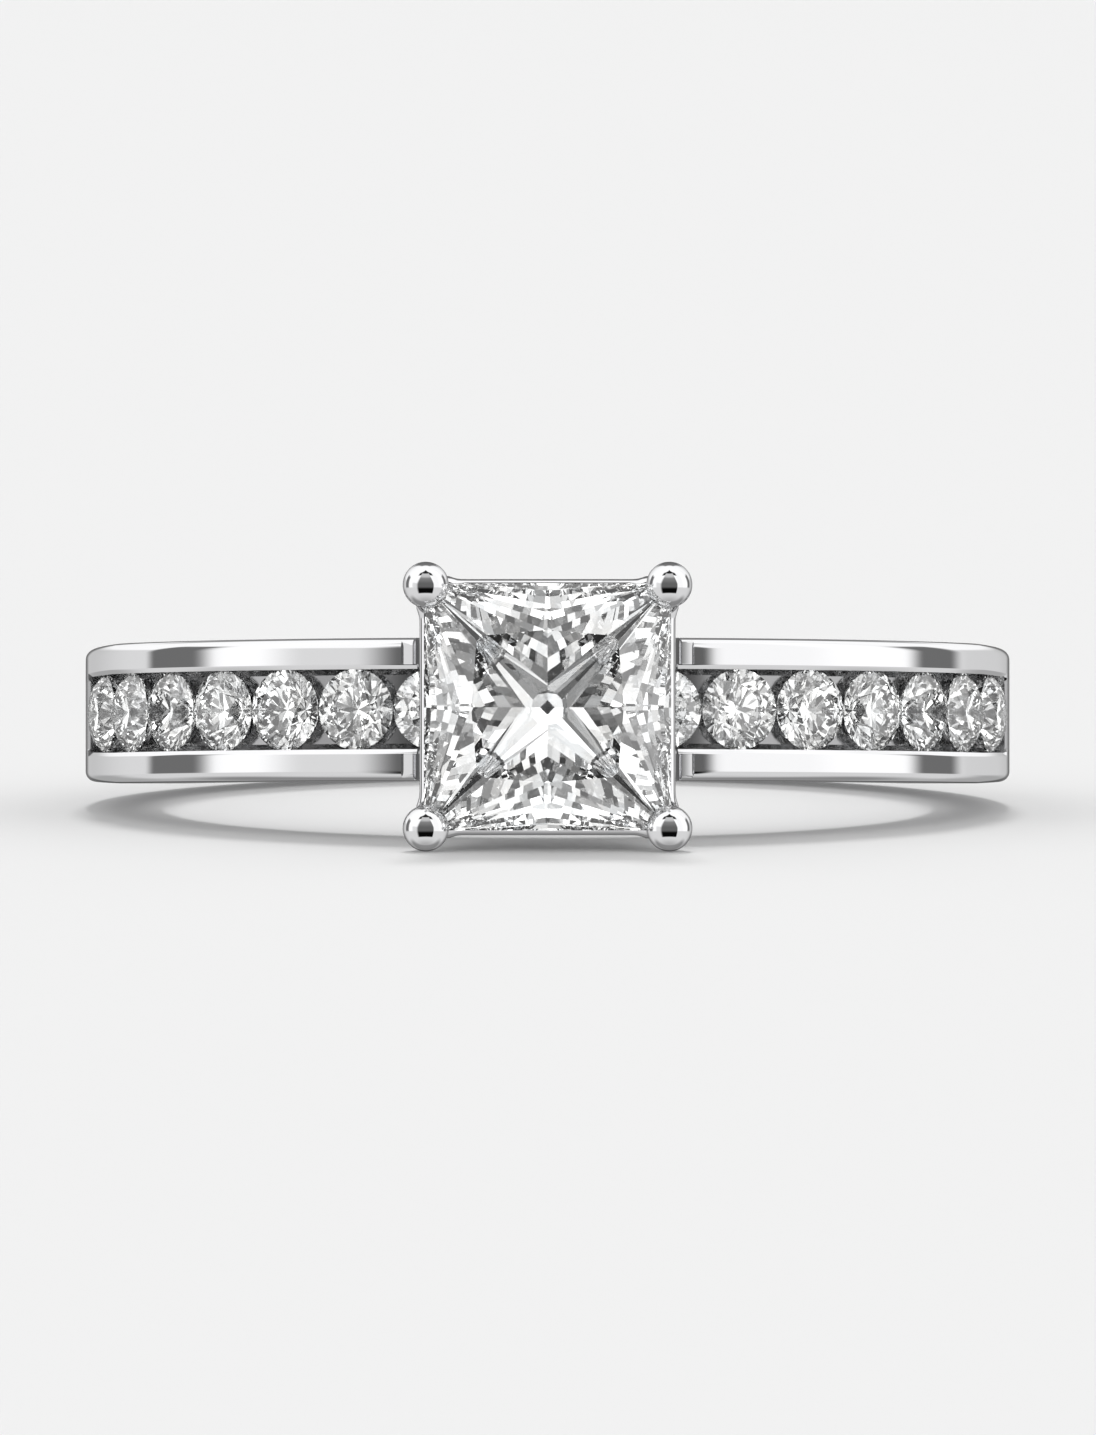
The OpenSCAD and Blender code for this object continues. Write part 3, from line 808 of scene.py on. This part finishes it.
# %% Cards that the metal and the floor see: walls, gaps, back and roof
near_ground = ramp(elevation, -14, -7)
wall_reach = both(near_ground, ramp(elevation, 60, 54))
gap_reach = both(near_ground, ramp(elevation, 31, 23))
roof_front = ramp(maths("MULTIPLY_ADD", off_axis, 0.3, elevation), 58, 62)
roof_back = ramp(maths("MULTIPLY_ADD", off_axis, 0.5, elevation), 88, 82)
walls = [
    ("back wall", ramp(off_axis, 125, 160), 0.65),
    ("right back corner", band(azimuth, 124, 130, 150, 165), 0.74),
    ("upper wall", ramp(elevation, 6, 14), 1.15),
    ("left wall", both(band(azimuth, -99, -87, -78, -62), wall_reach), 1.17),
    ("right wall", both(band(azimuth, 39.5, 45, 110, 125), wall_reach), 1.09),
    ("right wall's middle", both(band(azimuth, 66, 80, 96, 108), wall_reach), 1.18),
    ("right gap", both(band(azimuth, 99.5, 108, 119.5, 127), gap_reach), 0.17),
    ("left gap", both(band(azimuth, -119.9, -115, -99.5, -90), gap_reach), 0.17),
    ("high at the back", both(ramp(off_axis, 148, 160), band(elevation, 24, 32, 60, 68)), 0.22),
    ("low at the back", both(ramp(off_axis, 163, 171), ramp(elevation, 32, 24)), 0.2),
    ("roof's dark strip", both(roof_front, roof_back, ramp(off_axis, 54, 46)), 0.02),
]
level = lay_cards(0.8, walls)
print("wall cards:", len(walls))

# %% The studio's ground and its dark opening in front
ground = maths("MULTIPLY_ADD", ramp(elevation, -85, -40), 0.3, 0.45)
ground = lay_cards(ground, [
    ("steep at the sides", both(ramp(off_axis, 75, 115), ramp(elevation, -30, -50)), 0.28),
    ("shallow behind", both(ramp(off_axis, 128, 145), ramp(elevation, -50, -30)), 0.45),
    ("shallow far behind", both(ramp(off_axis, 164, 170), ramp(elevation, -50, -30)), 0.12),
])
narrowing = maths("MULTIPLY_ADD", ramp(elevation, 0, 55), -0.27, 1.0)
across_window = maths("DIVIDE", azimuth, narrowing)
opening = both(band(across_window, -49.3, -36.3, 39, 43), band(elevation, -42, -36, 59, 63))
dim = maths("MULTIPLY_ADD", ramp(elevation, -18, -4), 0.13, 0.003)
dim = maths("MULTIPLY_ADD", ramp(elevation, 6, 34), 0.1, dim)
dim = maths("MULTIPLY_ADD", ramp(elevation, 32, 48), 0.4, dim)
level = lay_cards(level, [("ground", ramp(elevation, -7, -14), ground), ("opening", opening, dim)])
print("nodes so far:", len(sky.nodes))

# %% [markdown]
# What the stones see
# -------------------
# A cut stone sends each facet's light off in another direction, so its pattern is a shuffled picture of the
# studio. Big soft cards give it big soft patches. The photographed stones have crisp small ones, as from
# lamps behind louvres. The metal mustn't mirror those bars, so light that leaves a stone, which Light Path
# knows as a transmission ray, sees a second, finer set of cards.

# %% Cards that light leaving a stone sees
side_reach = band(high, -15, -9, 46, 54)
strip_reach = band(high, -15, -9, 37, 43)
below = ramp(high, -8, -16)
broad = [
    ("side lamps", both(band(off_axis, 46, 54, 96, 104), side_reach), 3.6),
    ("dark strips beside them", both(band(off_axis, 105, 111, 121, 127), strip_reach), 0.04),
    ("below", below, 1.35),
    ("below at the sides", both(below, ramp(off_axis, 48, 58)), 2.8),
    ("straight down", ramp(high, -60, -80), 0.6),
    ("front lamp", both(ramp(off_axis, 49, 43), band(high, 6, 10, 37, 43)), 1.9),
    ("dark ring overhead", band(high, 48, 52, 60, 64), 0.3),
    ("top", ramp(high, 64, 68), 0.5),
]
inside = louvred(lay_cards(0.85, broad), 10, 0.4)
front_low = both(ramp(off_axis, 47, 41), band(high, -49, -43, 4, 8))
fine_cards = [
    ("louvres low in front", front_low, louvred(1.25, 14, 0.8)),
    ("camera", both(ramp(off_axis, 15, 9), band(high, -12, -8, 8, 12)), 0.05),
    ("dark stands", both(band(off_axis, 29, 31, 35, 37), band(high, -41, -35, 58, 62)), 0.07),
]
inside = lay_cards(inside, fine_cards)
print("stone cards:", len(broad) + len(fine_cards))

# %% World's output
through = sky.nodes.new("ShaderNodeLightPath").outputs["Is Transmission Ray"]
level = lay_cards(level, [("what stones see", through, inside)])
glow = sky.nodes.new("ShaderNodeBackground")
glow.inputs["Color"].default_value = (1, 1, 1, 1)
out = sky.nodes.new("ShaderNodeOutputWorld")
sky.links.new(level, glow.inputs["Strength"])
sky.links.new(glow.outputs[0], out.inputs["Surface"])
print("world nodes:", len(sky.nodes))

# %% [markdown]
# The lamp
# --------
# The ring throws a soft ring-shaped shadow toward the camera, so the light comes from above and behind. The
# studio alone would leave only a vague stain. A big area lamp is the real thing, but a sun lamp of a wide
# angle gives the same even softness at every point of the floor. Its disc would burn white spots into metal
# and stones that the photograph doesn't have, so neither mirrors it.

# %% Overhead lamp
LAMP_BACK = 32
LAMP_WIDE = 13
sun_data = bpy.data.lights.new("overhead", "SUN")
sun_data.energy = 1.18
sun_data.angle = np.radians(LAMP_WIDE)
sun = bpy.data.objects.new("overhead", sun_data)
sun.rotation_euler = (np.radians(-LAMP_BACK), 0, 0)
sun.visible_glossy = False
sun.visible_transmission = False
bpy.context.scene.collection.objects.link(sun)
print("lamp leans back by", LAMP_BACK, "degrees and is", LAMP_WIDE, "degrees wide")

# %% [markdown]
# The camera
# ----------
# The head stands nearer to the camera than the shank's sides, so its size against theirs gives the distance,
# about 31 cm. The lens then follows from the ring's width in the photograph: half of it, in pixels, is the
# focal length times the tangent of the angle at which the sight line touches the shank. The last pixel or
# two of the ring's place in the frame is left to the camera's aim, so no lens shift is needed.

# %% Camera
RANGE_MM = 310.0
CAMERA_RISE = 3.75
HALF_WIDTH_PX = 461.9
PHOTO_WIDTH_PX = 1096.0
SENSOR_MM = 36.0
AIM_RIGHT_M = 0.00001
AIM_DOWN_DEG = 0.0062
centre = laid([0, 0, 0])
tilt = np.radians(CAMERA_RISE)
eye = centre + RANGE_MM / 1000.0 * np.array([0, -np.cos(tilt), np.sin(tilt)])
camera_data = bpy.data.cameras.new("camera")
camera_data.sensor_fit = "HORIZONTAL"
camera_data.sensor_width = SENSOR_MM
focal_px = HALF_WIDTH_PX / np.tan(np.arcsin(OUTER_R / RANGE_MM))
camera_data.lens = SENSOR_MM * focal_px / PHOTO_WIDTH_PX
camera_data.clip_start = 0.01
camera_data.clip_end = 50.0
camera = bpy.data.objects.new("camera", camera_data)
camera.location = eye + np.array([AIM_RIGHT_M, 0, 0])
camera.rotation_euler = (np.pi / 2 - tilt - np.radians(AIM_DOWN_DEG), 0, 0)
bpy.context.scene.collection.objects.link(camera)
bpy.context.scene.camera = camera
print("focal length mm:", round(camera_data.lens, 1))

# %% Light paths and tone
# light crosses many facets before it leaves a stone, so its paths need many bounces
scene = bpy.context.scene
scene.view_settings.view_transform = "Standard"
scene.cycles.use_denoising = True
scene.cycles.max_bounces = 24
scene.cycles.transmission_bounces = 24
scene.cycles.glossy_bounces = 12
scene.cycles.diffuse_bounces = 4
print("bounces:", scene.cycles.max_bounces)
